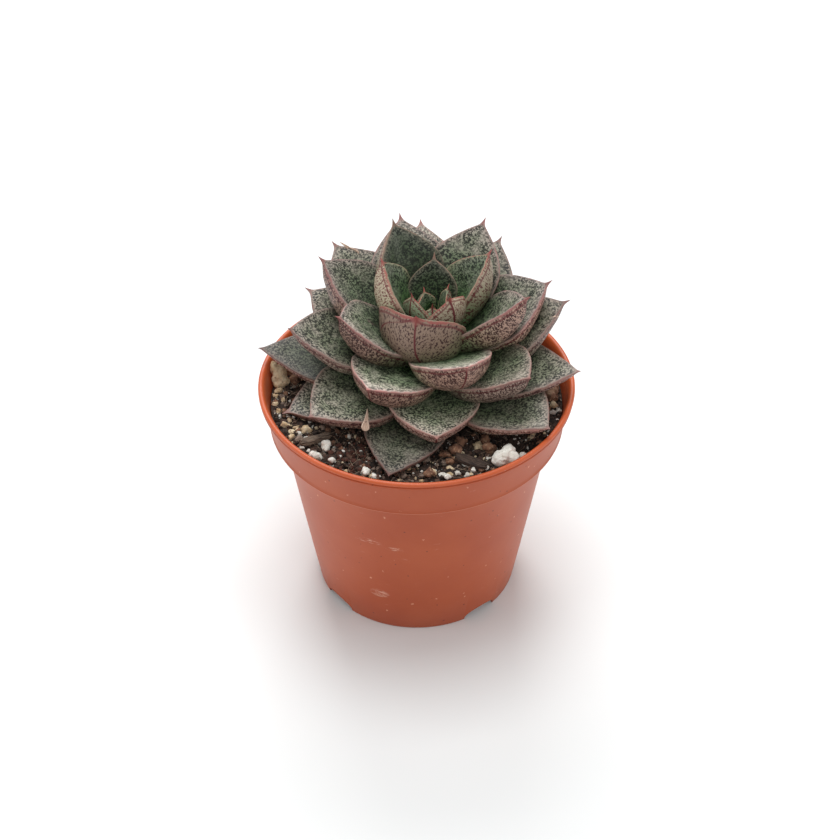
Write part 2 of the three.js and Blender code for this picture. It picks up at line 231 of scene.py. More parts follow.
def leaf_skin(name, tints, dashes_from, dash_scale=1.4):
    """Living succulent skin: waxy, matte and finely flecked.

    The upper face is green with dark flecks and a taupe border, the underside taupe with maroon dashes.
    skin_mm holds the place on the leaf in millimetres, leaf_place the distance from the margin, the fraction
    of the length, and 1 on the upper face, vein_mm the distance from a second line on the underside, and
    tone how light the leaf is, with the painted light and shade of each leaf in it.
    """
    material, tree, shader = new_material(name, 0.5, 1.4)
    tint = {part: linear(colour) for part, colour in tints.items()}
    skin, place, vein, tone = [
        add(tree, "Attribute", {}, output, attribute_name=layer)
        for layer, output in (("skin_mm", "Vector"), ("leaf_place", "Vector"),
                              ("vein_mm", "Fac"), ("tone", "Fac"))]
    across = add(tree, "SeparateXYZ", {"Vector": skin}, "X")
    edge, along, upper = [add(tree, "SeparateXYZ", {"Vector": place}, axis) for axis in "XYZ"]

    # broad cloudiness, about 8 mm across, and a ragged distance from the margin
    cloud = add(tree, "TexNoise", {"Vector": skin, "Scale": 0.13, "Detail": 3.0})
    drift = add(tree, "Math", {0: cloud, 1: 0.55, 2: along}, operation="MULTIPLY_ADD")
    wander = add(tree, "TexNoise", {"Vector": skin, "Scale": 0.6})
    ragged = add(tree, "Math", {0: wander, 1: 1.4, 2: edge}, operation="MULTIPLY_ADD")

    # the upper face greys towards the point, and turns taupe in the last 2 mm before the margin
    greyed = add(tree, "MapRange", {"Value": drift, "From Min": 0.5, "From Max": 1.25},
                 interpolation_type="SMOOTHSTEP")
    border = add(tree, "MapRange", {"Value": ragged, "From Min": 2.9, "From Max": 1.1, "To Max": 0.68})

    # its middle is deeper in patches about 4 mm across
    patches = add(tree, "TexNoise", {"Vector": skin, "Scale": 0.28})
    dense = add(tree, "MapRange", {"Value": patches, "From Min": 0.3, "From Max": 0.55})
    inner = add(tree, "MapRange", {"Value": ragged, "From Min": 2.0, "From Max": 5.5, "To Max": 0.45})
    shade = add(tree, "Math", {0: dense, 1: inner}, operation="MULTIPLY")

    # its flecks are about 0.25 mm wide, and fewer outside the patches, at the base and next to the margin
    flecks = worm_flecks(tree, skin, 1.2, 0.14, 0.38, 0.5, 0.92)
    fewer = ((patches, 0.3, 0.55, 0.6), (along, 0.0, 0.35, 0.0), (ragged, 0.7, 1.6, 0.0))
    for value, low, high, least in fewer:
        share = add(tree, "MapRange", {"Value": value, "From Min": low, "From Max": high, "To Min": least})
        flecks = add(tree, "Math", {0: flecks, 1: share}, operation="MULTIPLY")
    face = tint["deep"]
    for share, part in ((greyed, "pale"), (border, "border"), (shade, "deep"), (flecks, "fleck")):
        face = add(tree, "Mix", {0: share, 6: face, 7: tint[part]}, 2, data_type="RGBA")

    # the underside is green at its base, and its dashes are about 0.25 mm wide
    taupe = add(tree, "MapRange", {"Value": drift, "From Min": 0.55, "From Max": 1.1},
                interpolation_type="SMOOTHSTEP")
    dashes = worm_flecks(tree, skin, dash_scale, 0.13, dashes_from, dashes_from + 0.06, 0.95)

    # its dark red lines: one on the keel, one just below the margin, and on one leaf a second keel
    off_keel = add(tree, "Math", {0: across}, operation="ABSOLUTE")
    line = add(tree, "MapRange", {"Value": off_keel, "From Min": 0.36, "From Max": 0.14})
    outer_part = add(tree, "MapRange", {"Value": along, "From Min": 0.3, "From Max": 0.55})
    lines = add(tree, "Math", {0: line, 1: outer_part}, operation="MULTIPLY")
    for value, low, high, most in ((vein, 0.34, 0.14, 1.0), (gap(tree, edge, 0.8), 0.4, 0.12, 0.75)):
        line = add(tree, "MapRange", {"Value": value, "From Min": low, "From Max": high, "To Max": most})
        lines = add(tree, "Math", {0: lines, 1: line}, operation="MAXIMUM")
    belly = tint["under_base"]
    for share, part in ((taupe, "under"), (dashes, "dash"), (lines, "keel")):
        belly = add(tree, "Mix", {0: share, 6: belly, 7: tint[part]}, 2, data_type="RGBA")
    colour = add(tree, "Mix", {0: upper, 6: belly, 7: face}, 2, data_type="RGBA")

    # a thin horny line along the margin, redder towards the point
    rim = add(tree, "MapRange", {"Value": ragged, "From Min": 1.05, "From Max": 0.75, "To Max": 0.85})
    point = add(tree, "MapRange", {"Value": along, "From Min": 0.975, "From Max": 0.995})
    rim = add(tree, "Math", {0: rim, 1: point}, operation="MAXIMUM")
    redder = add(tree, "MapRange", {"Value": drift, "From Min": 0.75, "From Max": 1.2})
    horn = add(tree, "Mix", {0: redder, 6: tint["low_margin"], 7: tint["margin"]}, 2, data_type="RGBA")
    colour = add(tree, "Mix", {0: rim, 6: colour, 7: horn}, 2, data_type="RGBA")
    # the tone scales the colour, and brings the painted light and shade with it
    colour = add(tree, "VectorMath", {0: colour, "Scale": tone}, operation="SCALE")

    # skin cells, felt as a fine unevenness
    cells = add(tree, "TexNoise", {"Vector": skin, "Scale": 2.2})
    coat(tree, shader, colour, cells, 0.4, 0.12)
    return material


def terracotta_plastic():
    """Injection-moulded polypropylene in a terracotta colour: satin, with dust, specks and a few scuffs."""
    material, tree, shader = new_material("terracotta_polypropylene", 0.44, 1.46)
    here = place_in_mm(tree)
    cloud = add(tree, "TexNoise", {"Vector": here, "Scale": 0.05, "Detail": 4.0})
    cloud = add(tree, "MapRange", {"Value": cloud, "From Min": 0.35, "From Max": 0.65})

    # the thin lip is painted brighter for the light it lets through, and the foot of the collar has a
    # painted highlight along a line 0.4 mm wide
    height = add(tree, "SeparateXYZ", {"Vector": here}, "Z")
    lip = add(tree, "MapRange", {"Value": height, "From Min": POT_HEIGHT - 2.1, "From Max": POT_HEIGHT - 0.6,
                                 "To Max": 0.5})
    collar_edge = POT_HEIGHT - COLLAR_HEIGHT - SHOULDER_HEIGHT + 0.35
    painted_collar_highlight = add(tree, "MapRange", {"Value": gap(tree, height, collar_edge), "From Min": 0.3,
                                    "From Max": 0.12, "To Max": 0.5})
    layers = [(cloud, "#b0522c"), (lip, "#d2602f"), (painted_collar_highlight, "#d98a6a")]

    # dark and pale specks, uneven and about 0.5 mm across
    for shift, scale, colour in ((0, 0.27, "#4c1c14"), (9, 0.23, "#e0a282")):
        moved = add(tree, "VectorMath", {0: here, 1: (shift, shift, shift)}, operation="ADD")
        off_speck = add(tree, "TexVoronoi", {"Vector": moved, "Scale": scale, "Randomness": 1.0})
        uneven = add(tree, "TexNoise", {"Vector": moved, "Scale": 1.6})
        off_speck = add(tree, "Math", {0: uneven, 1: 0.3, 2: off_speck}, operation="MULTIPLY_ADD")
        speck = add(tree, "MapRange", {"Value": off_speck, "From Min": 0.22, "From Max": 0.18,
                                       "To Max": 0.7})
        layers.append((speck, colour))

    # three scuffs on the front: place and half size in mm, and how sparse the scrapes are
    scrape = stretched_noise(tree, here, (0.4, 0.4, 2.2), 1.1, 4.0, 0.7)
    for spot, half, bare in (((-13.5, -35.5, 37), (4, 9, 1.2), 0.53),
                             ((-6, -37.5, 35.5), (2.8, 9, 0.9), 0.51),
                             ((-10.5, -33, 14.6), (2.9, 9, 1.8), 0.45)):
        off = add(tree, "VectorMath", {0: here, 1: spot}, operation="SUBTRACT")
        off = add(tree, "VectorMath", {0: off, 1: half}, operation="DIVIDE")
        off = add(tree, "VectorMath", {0: off}, "Value", operation="LENGTH")
        inside = add(tree, "MapRange", {"Value": off, "From Min": 1.0, "From Max": 0.7})
        scraped = add(tree, "MapRange", {"Value": scrape, "From Min": bare, "From Max": bare + 0.1,
                                         "To Max": 0.6})
        layers.append((add(tree, "Math", {0: inside, 1: scraped}, operation="MULTIPLY"), "#e2b39c"))

    # pale dust in fine streaks
    streaks = stretched_noise(tree, here, (0.5, 0.5, 1.3), 0.5, 6.0, 0.75)
    dust = add(tree, "MapRange", {"Value": streaks, "From Min": 0.64, "From Max": 0.78, "To Max": 0.4})
    layers.append((dust, "#dba18c"))
    body = linear("#a84a26")
    for share, colour in layers:
        body = add(tree, "Mix", {0: share, 6: body, 7: linear(colour)}, 2, data_type="RGBA")
    ripple = add(tree, "TexNoise", {"Vector": here, "Scale": 0.35, "Detail": 3.0})
    coat(tree, shader, body, ripple, 0.25, 0.1)
    return material


def mottled(name, colours, grain_mm, roughness, bump_mm):
    """A natural mineral or peat surface in three colours, mixed in grains of one size."""
    material, tree, shader = new_material(name, roughness)
    here = place_in_mm(tree)
    broad = add(tree, "TexNoise", {"Vector": here, "Scale": 0.35 / grain_mm, "Detail": 4.0})
    fine = add(tree, "TexNoise", {"Vector": here, "Scale": 1.0 / grain_mm, "Detail": 4.0, "Roughness": 0.65})
    second = add(tree, "MapRange", {"Value": broad, "From Min": 0.4, "From Max": 0.62})
    third = add(tree, "MapRange", {"Value": fine, "From Min": 0.54, "From Max": 0.68})
    mixed = add(tree, "Mix", {0: second, 6: linear(colours[0]), 7: linear(colours[1])}, 2, data_type="RGBA")
    mixed = add(tree, "Mix", {0: third, 6: mixed, 7: linear(colours[2])}, 2, data_type="RGBA")
    coat(tree, shader, mixed, fine, 0.8, bump_mm)
    return material


def fibrous(name, dark, pale):
    """Dead plant fibre, such as bark and dry leaf ends: streaked along its length."""
    material, tree, shader = new_material(name, 0.85)
    grain = add(tree, "Attribute", {}, "Vector", attribute_name="skin_mm")
    streaks = stretched_noise(tree, grain, (3.0, 0.35, 3.0), 1.0, 4.0, 0.7)
    share = add(tree, "MapRange", {"Value": streaks, "From Min": 0.38, "From Max": 0.64})
    mixed = add(tree, "Mix", {0: share, 6: linear(dark), 7: linear(pale)}, 2, data_type="RGBA")
    coat(tree, shader, mixed, streaks, 0.9, 0.2)
    return material


# ---------- pieces


def named(name):
    """The active object, with this name on it and on its mesh."""
    piece = bpy.context.active_object
    piece.name = name
    piece.data.name = name
    return piece


def pick(piece):
    """Makes the piece the active one, and the only one that is selected."""
    bpy.ops.object.select_all(action="DESELECT")
    piece.select_set(True)
    bpy.context.view_layer.objects.active = piece


def settle(piece):
    """Puts the piece's place, turn and size into its mesh."""
    pick(piece)
    bpy.ops.object.transform_apply(location=True, rotation=True, scale=True)


def apply_modifier(piece, kind, **settings):
    pick(piece)
    made = piece.modifiers.new(kind.lower(), kind)
    for name, value in settings.items():
        setattr(made, name, value)
    bpy.ops.object.modifier_apply(modifier=made.name)


def finish_piece(piece, material, replaced=(), smooth=180):
    """Gives the piece its material and smoothing, hangs it on the root body, and hides the CAD parts that it
    replaces.
    """
    piece.data.materials.clear()
    piece.data.materials.append(material)
    pick(piece)
    bpy.ops.object.shade_smooth_by_angle(angle=math.radians(smooth))
    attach(piece, "root")
    if replaced:
        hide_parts(*replaced)


def edit_whole():
    """Opens the active piece's mesh, with all of it selected."""
    bpy.ops.object.mode_set(mode="EDIT")
    bpy.ops.mesh.select_all(action="SELECT")


def close_edit():
    """Turns every normal outwards and closes the mesh again."""
    bpy.ops.mesh.select_all(action="SELECT")
    bpy.ops.mesh.normals_make_consistent(inside=False)
    bpy.ops.object.mode_set(mode="OBJECT")


def points_of(mesh):
    """The mesh's points, in metres, as an array with a row for each."""
    points = np.empty(len(mesh.vertices) * 3)
    mesh.vertices.foreach_get("co", points)
    return points.reshape(-1, 3)


def move_points(mesh, places):
    """Puts the mesh's points at these places, in millimetres."""
    mesh.vertices.foreach_set("co", (places * MM).astype(np.float32).ravel())
    mesh.update()


def store(mesh, name, *parts):
    """Keeps a number, or a vector in three parts, at each vertex, for the material to read."""
    kind, key = ("FLOAT", "value") if len(parts) == 1 else ("FLOAT_VECTOR", "vector")
    layer = mesh.attributes.new(name, kind, "POINT")
    layer.data.foreach_set(key, np.stack(parts, 1).astype(np.float32).ravel())


# ---------- pot


def draw_out(name, profile, sides, fill_type="NOTHING"):
    """Makes a circle and extrudes it along a profile of radius and height. Its mesh stays open."""
    radius, height = profile[0]
    bpy.ops.mesh.primitive_circle_add(vertices=sides, radius=radius * MM, fill_type=fill_type,
                                      location=(0, 0, height * MM))
    piece = named(name)
    edit_whole()
    for next_radius, next_height in profile[1:]:
        bpy.ops.mesh.extrude_region_move(
            TRANSFORM_OT_translate={"value": (0, 0, (next_height - height) * MM)})
        growth = next_radius / radius
        bpy.ops.transform.resize(value=(growth, growth, 1), center_override=(0, 0, 0))
        radius, height = next_radius, next_height
    return piece


def notch_tool(heading):
    """An arch, pushed outwards through the foot at one heading."""
    bpy.ops.mesh.primitive_cylinder_add(vertices=48, radius=NOTCH_WIDTH / 2 * MM, depth=8 * MM,
                                        rotation=(math.pi / 2, 0, 0))
    tool = named("notch_tool")
    rise = (NOTCH_HEIGHT - NOTCH_SPRING) / (NOTCH_WIDTH / 2)
    tool.scale = (1, rise, 1)
    settle(tool)
    edit_whole()
    bpy.ops.mesh.bisect(plane_co=(0, 0, 0), plane_no=(0, 0, 1), clear_inner=True)
    bpy.ops.mesh.extrude_edges_move(TRANSFORM_OT_translate={"value": (0, 0, -3 * MM)})
    bpy.ops.mesh.select_all(action="SELECT")
    bpy.ops.mesh.select_non_manifold()
    bpy.ops.mesh.edge_face_add()
    close_edit()
    turn = Matrix.Rotation(math.radians(heading - 90), 4, "Z")
    tool.matrix_world = turn @ Matrix.Translation((0, FOOT_RADIUS * MM, NOTCH_SPRING * MM))
    settle(tool)
    return tool


def floor_hole_tool(heading):
    """A rod through the floor at one heading."""
    turn = math.radians(heading)
    place = Vector((math.cos(turn), math.sin(turn), 0)) * FLOOR_HOLE_CIRCLE
    place.z = FLOOR_UNDERSIDE + FLOOR_THICKNESS / 2
    bpy.ops.mesh.primitive_cylinder_add(vertices=40, radius=FLOOR_HOLE_RADIUS * MM,
                                        depth=4 * FLOOR_THICKNESS * MM, location=place * MM)
    tool = named("floor_hole_tool")
    settle(tool)
    return tool


def nursery_pot():
    shoulder_top = POT_HEIGHT - COLLAR_HEIGHT
    shoulder_foot = shoulder_top - SHOULDER_HEIGHT
    floor_top = FLOOR_UNDERSIDE + FLOOR_THICKNESS

    def body_radius(height):
        return FOOT_RADIUS + (BODY_TOP_RADIUS - FOOT_RADIUS) * height / shoulder_foot

    def near(radius, height, *steps):
        """Points that stand so far out and up from a radius and a height of the pot."""
        return [(radius + out, height + up) for out, up in steps]

    profile = [
        (DRAIN_RADIUS, FLOOR_UNDERSIDE), (body_radius(FLOOR_UNDERSIDE) - WALL, FLOOR_UNDERSIDE),
        *near(FOOT_RADIUS, 0, (0.05 - WALL, 0.15), (0.15 - WALL, 0), (-0.42, 0), (-0.2, 0.14)),
        (FOOT_RADIUS - 0.03, 0.45), (body_radius(12), 12), (body_radius(26), 26), (body_radius(40), 40),
        *near(BODY_TOP_RADIUS, shoulder_foot, (-0.05, -0.5), (0.15, -0.1), (0.6, 0.05)),
        # the thickened edge at the collar's foot, and the collar
        *near(COLLAR_FOOT_RADIUS, shoulder_foot, (-0.9, 0.1), (-0.15, 0.2), (0.12, 0.38), (0.2, 0.6),
              (0.06, 0.95)),
        *near(COLLAR_FOOT_RADIUS, shoulder_top, (0.04, 0.6), (0.7, 5)),
        *near(COLLAR_TOP_RADIUS, POT_HEIGHT, (-0.08, -2.4), (0.2, -2.15)),
        # the small ridge, the groove and the rolled lip above them
        *near(LIP_RADIUS, POT_HEIGHT, (-0.45, -2.05), (-0.2, -1.85), (-0.18, -1.55), (-0.35, -1.38),
              (-0.55, -1.28), (-0.3, -1.12), (-0.06, -0.9), (0, -0.62), (-0.1, -0.3), (-0.34, -0.08),
              (-0.65, 0), (-1.05, -0.06), (-1.35, -0.28), (-1.6, -0.75)),
        # down the inside to the floor
        (COLLAR_TOP_RADIUS - WALL, POT_HEIGHT - 1.8), (COLLAR_FOOT_RADIUS - WALL, shoulder_top + WALL / 2),
        (BODY_TOP_RADIUS - WALL, shoulder_foot + WALL / 2), (body_radius(floor_top) - WALL, floor_top),
        (DRAIN_RADIUS, floor_top), (DRAIN_RADIUS, FLOOR_UNDERSIDE),
    ]
    # the profile ends where it began, so its two ends are merged
    pot = draw_out("nursery_pot", profile, 160)
    bpy.ops.mesh.select_all(action="SELECT")
    bpy.ops.mesh.remove_doubles(threshold=0.001 * MM)
    close_edit()
    settle(pot)
    for heading in NOTCH_HEADINGS:
        for tool in (notch_tool(heading), floor_hole_tool(heading)):
            apply_modifier(pot, "BOOLEAN", operation="DIFFERENCE", object=tool, solver="EXACT")
            bpy.data.objects.remove(tool)
    pot.location = POT_AXIS * MM
    settle(pot)
    finish_piece(pot, terracotta_plastic(), ["pot"], smooth=35)


# ---------- leaves


def grown(values, age):
    """The value at an age from 0 to 1, on a curve through the young, the middle and the old one."""
    young, middle, old = values
    return young * (1 - age) * (1 - 2 * age) + middle * 4 * age * (1 - age) + old * age * (2 * age - 1)


def rosette_matrix():
    return (Matrix.Translation(ROSETTE_FOOT + POT_AXIS) @ Matrix.Rotation(FORWARD_LEAN, 4, "X")
            @ Matrix.Rotation(SIDEWAYS_LEAN, 4, "Y"))


def smooth_step(values, low, high):
    share = np.clip((values - low) / (high - low), 0, 1)
    return share * share * (3 - 2 * share)


def width_share(along, shoulder_power):
    """The width at a fraction of the length, as a share of the full width."""
    rising = BASE_WIDTH + (1 - BASE_WIDTH) * np.sin(np.pi / 2 * along / WIDEST_AT)
    falling = 1 - (np.clip(along - WIDEST_AT, 0, 1) / (1 - WIDEST_AT)) ** shoulder_power
    return np.where(along < WIDEST_AT, rising, falling)


def unevenness(places, size, seed):
    """A smooth noise from -1 to 1 at each place, with features of about this size."""
    return np.array([noise.noise(Vector(p) / size + Vector((seed, 0, seed))) for p in places])


def leaf_frame(number):
    """A leaf's length and width, and its base and directions on the upright rosette."""
    turn, lean, longer, wider = DEPARTURES.get(number, (0, 0, 0, 0))
    age = min(number, MATURE_LEAF) / MATURE_LEAF
    heading = math.radians(FIRST_HEADING - GOLDEN_ANGLE * number + turn)
    rise = math.radians(grown(LEAN_BY_AGE, age) + lean)
    length = grown(LENGTH_BY_AGE, age) + longer
    width = grown(WIDTH_BY_AGE, age) + wider
    seat = STEM_TOP_RADIUS + (STEM_FOOT_RADIUS - STEM_TOP_RADIUS) * age + LEAF_SEAT
    outwards = np.array([math.cos(heading), math.sin(heading), 0])
    up = np.array([0, 0, 1.0])
    base = outwards * seat + up * STEM_HEIGHT * (1 - age)
    forwards = outwards * math.cos(rise) + up * math.sin(rise)
    sideways = np.array([math.sin(heading), -math.cos(heading), 0])
    upwards = up * math.cos(rise) - outwards * math.sin(rise)
    return length, width, base, forwards, sideways, upwards


def shape_leaf(blank, number, order, skins):
    """A copy of the blank, drawn out into one leaf: run, reach and lift are lengths along, across and above
    the line from its base to its point."""
    leaf = blank.copy()
    leaf.data = blank.data.copy()
    bpy.context.collection.objects.link(leaf)
    pick(leaf)
    named(f"succulent_leaf_{order + 1:02d}")

    length, width, base, forwards, sideways, upwards = leaf_frame(number)
    broader, left_power, right_power, keel_factor = SHAPES.get(number, USUAL_SHAPE)
    width *= broader
    unit = points_of(leaf.data)
    along = (1 + unit[:, 2]) / 2
    around = np.arctan2(unit[:, 1], unit[:, 0])
    at_pole = np.abs(unit[:, 2]) > 0.99999
    across, side = np.where(at_pole, 0, (np.cos(around), np.sin(around)))
    underside = np.where(side < 0, 1, 0)
    power = right_power + (left_power - right_power) * smooth_step(across, -0.3, 0.3)
    share = width_share(along, power)
    reach = across * share * width / 2

    # the margin is a thin rounded edge, and the keel is sharper towards the point
    plump = np.sign(side) * np.abs(side) ** 0.6 * (0.1 + 0.024 * width) * np.clip(share * 3, 0, 1)
    keel_power = 4.0 - 2.4 * smooth_step(along, 0.45, 0.95)
    full_keel = KEEL_DEPTH * keel_factor * width * share ** KEEL_FULLNESS
    keel = full_keel * (1 - np.abs(across) ** keel_power) * underside
    hollow = TROUGH_DEPTH * 4 * reach ** 2 / width
    sag = (length * CURL / 8) * 4 * along * (1 - along)
    # 1 at the very point, and 0 a little way below it
    point = np.exp(-(1 - along) / 0.006)
    flat = np.stack([reach, along * length, np.zeros_like(along)], 1)
    wave = unevenness(flat, 7.0, 3.7 * number) * 0.28 * smooth_step(along, 0.1, 0.5) * (1 - point)
    dimple = unevenness(flat, 2.6, 9.1 * number) * 0.07 * (1 - point)
    lift = hollow - sag - keel + plump + wave * (0.4 + np.abs(across)) + dimple
    sway = 0
    if number == FRONT_LEAF:
        # both margins roll up, and the point stands a little to one side
        reached = smooth_step(along, 0.45, 0.72) * (1 - smooth_step(along, 0.8, 1))
        lift = lift + reached * (1.4 * smooth_step(across, 0.45, 1) + 1.5 * smooth_step(-across, 0.35, 1))
        sway = -2.0 * (1 - along) + 0.9 * smooth_step(1 - along, 0, 0.25)
    spine = SPINE_LENGTH * (SHORT_SPINE if number in BLUNT else SPINE)
    run = along * (length - SPINE_LENGTH) + spine * point
    # only the very point is narrower than 0.7 mm
    reach = np.hypot(reach, across * 0.36 * (1 - point) ** 0.8) * np.sign(across)
    # the flank below the margin stands out a little
    flank = np.sin(np.pi * np.clip((1 - np.abs(across)) / 0.45, 0, 1)) * underside
    reach = reach * (1 + 0.05 * flank)

    # distances on the skin; on the underside they follow the bulge of the keel
    skin_across = np.sign(across) * np.hypot(reach, (full_keel - keel) * underside)
    skin_along = along * length - 0.6 * full_keel * underside
    edge = (1 - np.abs(across)) * share * width / 2 * (STATED_WIDTH / width) ** 0.6
    edge = np.where(side < 0, np.hypot(edge, 0.9 * keel), edge)
    vein = np.full_like(along, NO_VEIN)
    if number == FRONT_LEAF:
        # the keel line stands askew, and a second line marks where the left margin rolls
        skin_across = skin_across + 3.0 * np.sin(np.pi * along)
        rolled = 4.4 * np.clip((1 - along) / 0.3, 0, 1) ** 0.8
        vein = np.where((side < 0) & (across > 0) & (along > 0.55), np.abs(edge - rolled), NO_VEIN)

    # each half turns upwards about the line along the middle
    left_fold, right_fold = FOLDS.get(number, (0, 0))
    fold = left_fold * smooth_step(across, -0.1, 0.6) + right_fold * smooth_step(-across, -0.1, 0.6)
    fold = np.radians(fold)
    raised = lift + sag
    lift = np.abs(reach) * np.sin(fold) + raised * np.cos(fold) - sag
    reach = np.sign(across) * (np.abs(reach) * np.cos(fold) - raised * np.sin(fold))
    places = base + np.outer(run, forwards) + np.outer(reach + sway, sideways) + np.outer(lift, upwards)
    whole = np.array(rosette_matrix())
    move_points(leaf.data, places @ whole[:3, :3].T + whole[:3, 3])

    # below the heart, the upper faces have painted shade towards their base, where younger leaves cover them
    painted_base_shade = 1 if number <= FRONT_LEAF else 0.6 + 0.48 * smooth_step(along, 0.3, 0.78)
    face_tone = FACE_TONE * TONES.get(number, 1) * painted_base_shade
    # the undersides take the painted light and shade of UNDER_TONES
    tone = np.where(side < 0, UNDER_TONES.get(number, 1), face_tone)
    upper = smooth_step(side, -0.02, 0.02)
    store(leaf.data, "skin_mm", skin_across, skin_along, np.full_like(along, PATTERN_STEP * number))
    store(leaf.data, "leaf_place", edge, along, upper)
    store(leaf.data, "vein_mm", vein)
    store(leaf.data, "tone", tone)
    skin = next(kind for limit, kind in SKIN_LIMITS if number < limit)
    if number in TAN_MARGINED:
        skin = "tan_margined"
    finish_piece(leaf, skins[skin], [f"leaf_{order + 1:02d}"])


def rosette():
    heart = {"deep": "#3c5d2f", "pale": "#7b7f70", "border": "#858468", "fleck": "#0a140d",
             "under": "#a0947f", "under_base": "#7b9268", "dash": "#5a2f2b", "keel": "#5f2629",
             "margin": "#904a46", "low_margin": "#a08f7c"}
    middle = {"deep": "#4c6a42", "pale": "#aca498", "border": "#917c76", "fleck": "#090f0c",
              "under": "#a98a7b", "under_base": "#7f8a68", "dash": "#321617", "keel": "#5a2225",
              "margin": "#8c5a56", "low_margin": "#a0857b"}
    outer = {"deep": "#526a46", "pale": "#a19a8d", "border": "#87746b", "fleck": "#0a100d",
             "under": "#9f8a7e", "under_base": "#7d826a", "dash": "#331c1b", "keel": "#502527",
             "margin": "#7f5a54", "low_margin": "#8e746a"}
    front = {**heart, "under": "#877162", "under_base": "#5f8054", "dash": "#33171a"}
    young = {**heart, "under": "#8f9a7e", "under_base": "#76906a"}
    tan = {**heart, "margin": "#a07c6c", "low_margin": "#9a8f7c", "border": "#8c8472"}
    looks = {"young": (young, 0.5), "heart": (heart, 0.48), "front": (front, 0.51, 1.5),
             "tan_margined": (tan, 0.47), "middle": (middle, 0.42), "outer": (outer, 0.41)}
    skins = {kind: leaf_skin(f"{kind}_leaf_skin", *look) for kind, look in looks.items()}
    # a leaf's base and point are the poles of this blank, and its margins two meridians
    bpy.ops.mesh.primitive_uv_sphere_add(segments=56, ring_count=44, radius=1)
    blank = named("leaf_blank")
    for order, number in enumerate(LEAF_NUMBERS):
        shape_leaf(blank, number, order, skins)
    bpy.data.objects.remove(blank)


# ---------- potting mix and what lies on it


def soil_height(x, y):
    """Height of the dished soil at a place measured from the pot's axis, before its crumbs."""
    return SOIL_TOP - SOIL_DIP * (1 - math.hypot(x, y) / SOIL_RADIUS)


def potting_mix():
    soil = draw_out("potting_mix", SOIL_SIDE, 200, "NGON")
    for _ in range(SOIL_RINGS):
        bpy.ops.mesh.inset(thickness=SOIL_RING_STEP * MM)
    bpy.ops.object.mode_set(mode="OBJECT")
    settle(soil)
    rim = SOIL_SIDE[-1][0]
    places = points_of(soil.data) / MM
    top = places[:, 2] > SOIL_TOP - 0.01
    for i in np.nonzero(top)[0]:
        x, y, _ = places[i]
        crumbs = noise.fractal(Vector((x, y, 0)) / 3.2, 1.0, 2.1, 4)
        # the crumbs fade out in the last 0.6 mm before the wall
        places[i, 2] = soil_height(x, y) + CRUMB_HEIGHT * crumbs * min(1, (rim - math.hypot(x, y)) / 0.6)
    move_points(soil.data, places)
    edit_whole()
    close_edit()
    soil.location = POT_AXIS * MM
    settle(soil)
    peat = mottled("damp_peat", ("#211915", "#3e2f27", "#6b5546"), 0.9, 0.9, 0.5)
    finish_piece(soil, peat, ["soil"])
    return peat


def lump(name, lobes, voxel, roughness_mm, seed, material, replaced):
    """A rough stone: round lobes, joined by remeshing and then roughened. A lobe is x, y, z from the pot's
    axis and radius, in mm."""
    parts = []
    for x, y, z, radius in lobes:
        place = (Vector((x, y, z)) + POT_AXIS) * MM
        bpy.ops.mesh.primitive_ico_sphere_add(subdivisions=3, radius=radius * MM, location=place)
        parts.append(bpy.context.active_object)
    for part in parts:
        part.select_set(True)
    bpy.ops.object.join()
    stone = named(name)
    settle(stone)
    apply_modifier(stone, "REMESH", mode="VOXEL", voxel_size=voxel * MM)
    apply_modifier(stone, "SMOOTH", factor=0.6, iterations=4)
    places = points_of(stone.data) / MM
    normals = np.array([v.normal for v in stone.data.vertices])
    rough = unevenness(places, 1.5, seed) + 0.7 * unevenness(places, 0.7, seed + 5)
    move_points(stone.data, places + normals * (rough * roughness_mm)[:, None])
    finish_piece(stone, material, replaced)


def lobes_in_box(name, count, seed):
    """Lobes that fill a CAD stone's box: a large one in the middle and smaller ones round it."""
    low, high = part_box(name)
    centre = (low + high) / 2 / MM - POT_AXIS
    half = (high - low) / 2 / MM
    rng = random.Random(seed)
    lobes = [(*centre, min(half) * 0.95)]
    for i in range(count):
        turn = 2 * math.pi * i / count + rng.uniform(-0.4, 0.4)
        radius = min(half) * rng.uniform(0.5, 0.7)
        lobes.append((centre.x + (half.x - radius) * math.cos(turn),
                      centre.y + (half.y - radius) * math.sin(turn),
                      centre.z + (half.z - radius) * rng.uniform(-0.72, 0.72), radius))
    return lobes


# A stone with a side longer than this has more lobes and is rougher.
LARGE_STONE = 3.5
# Lobes of the stones that show best, from the pot's axis: x, y, z and radius in mm.
LOBES = {
    "pumice_left": [(-37.5, 5.0, 61.2, 1.7), (-36.2, 5.2, 61.8, 1.5), (-37.4, 5.8, 63.2, 1.9),
                    (-38.4, 6.4, 64.8, 1.4), (-37.0, 7.0, 64.6, 1.3), (-38.7, 7.2, 66.2, 0.9),
                    (-36.3, 6.2, 63.6, 1.1), (-38.6, 5.0, 62.6, 0.9)],
    "perlite_large": [(23.8, -25.0, 62.8, 1.8), (21.8, -27.0, 61.8, 2.2), (25.0, -26.8, 61.8, 1.8),
                      (23.2, -26.2, 62.4, 1.9)],
    "perlite_left": [(-23.8, -21.2, 60.7, 1.25), (-23.3, -20.6, 61.5, 1.1), (-24.0, -20.9, 61.9, 0.9)],
    "perlite_left_low": [(-27.0, -24.0, 60.6, 1.15), (-25.9, -24.6, 60.6, 1.2), (-25.2, -24.9, 60.4, 0.8)],
    "pumice_right": [(36.4, 1.5, 61.2, 1.9), (37.0, 3.2, 61.5, 1.7), (36.2, -0.4, 61.3, 1.5),
                     (35.2, 2.4, 61.4, 1.4)],
}


